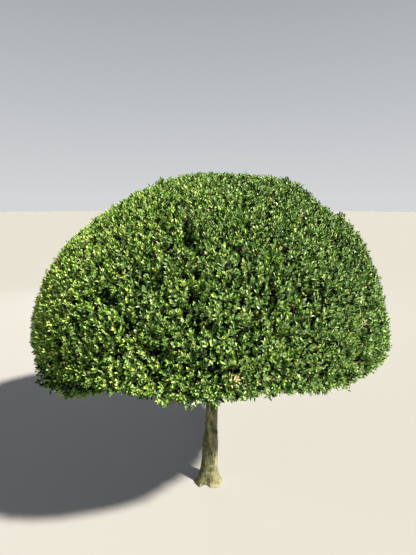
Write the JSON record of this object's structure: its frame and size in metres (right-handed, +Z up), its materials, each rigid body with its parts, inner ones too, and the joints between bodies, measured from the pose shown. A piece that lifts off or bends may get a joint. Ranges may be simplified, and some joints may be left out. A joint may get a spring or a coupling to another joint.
{
  "type": "clipped dome topiary tree",
  "caption": "Half-round clipped dome of small leaves on a clear stem with a flared foot, carried by boughs that fan out from the fork into the foliage.",
  "frame": {"origin": "middle of the flat cut under the stem, at ground level", "axes": "+Z up, -Y towards the viewer of the front, +X to that viewer's right"},
  "size_m": [1.756, 1.7354, 1.6849],
  "materials": {
    "bark": "rough olive-grey bark with green algae and pale lichen",
    "foliage": "small leathery leaves with a waxy sheen"
  },
  "bodies": {
    "root": {"trunk": "bark", "bough_1": "bark", "bough_2": "bark", "bough_3": "bark", "bough_4": "bark", "bough_5": "bark", "bough_6": "bark", "bough_7": "bark", "leader": "bark", "foliage_side_1": "foliage", "foliage_side_2": "foliage", "foliage_side_3": "foliage", "foliage_side_4": "foliage", "foliage_side_5": "foliage", "foliage_side_6": "foliage", "foliage_side_7": "foliage", "foliage_top": "foliage"}
  },
  "joints": []
}
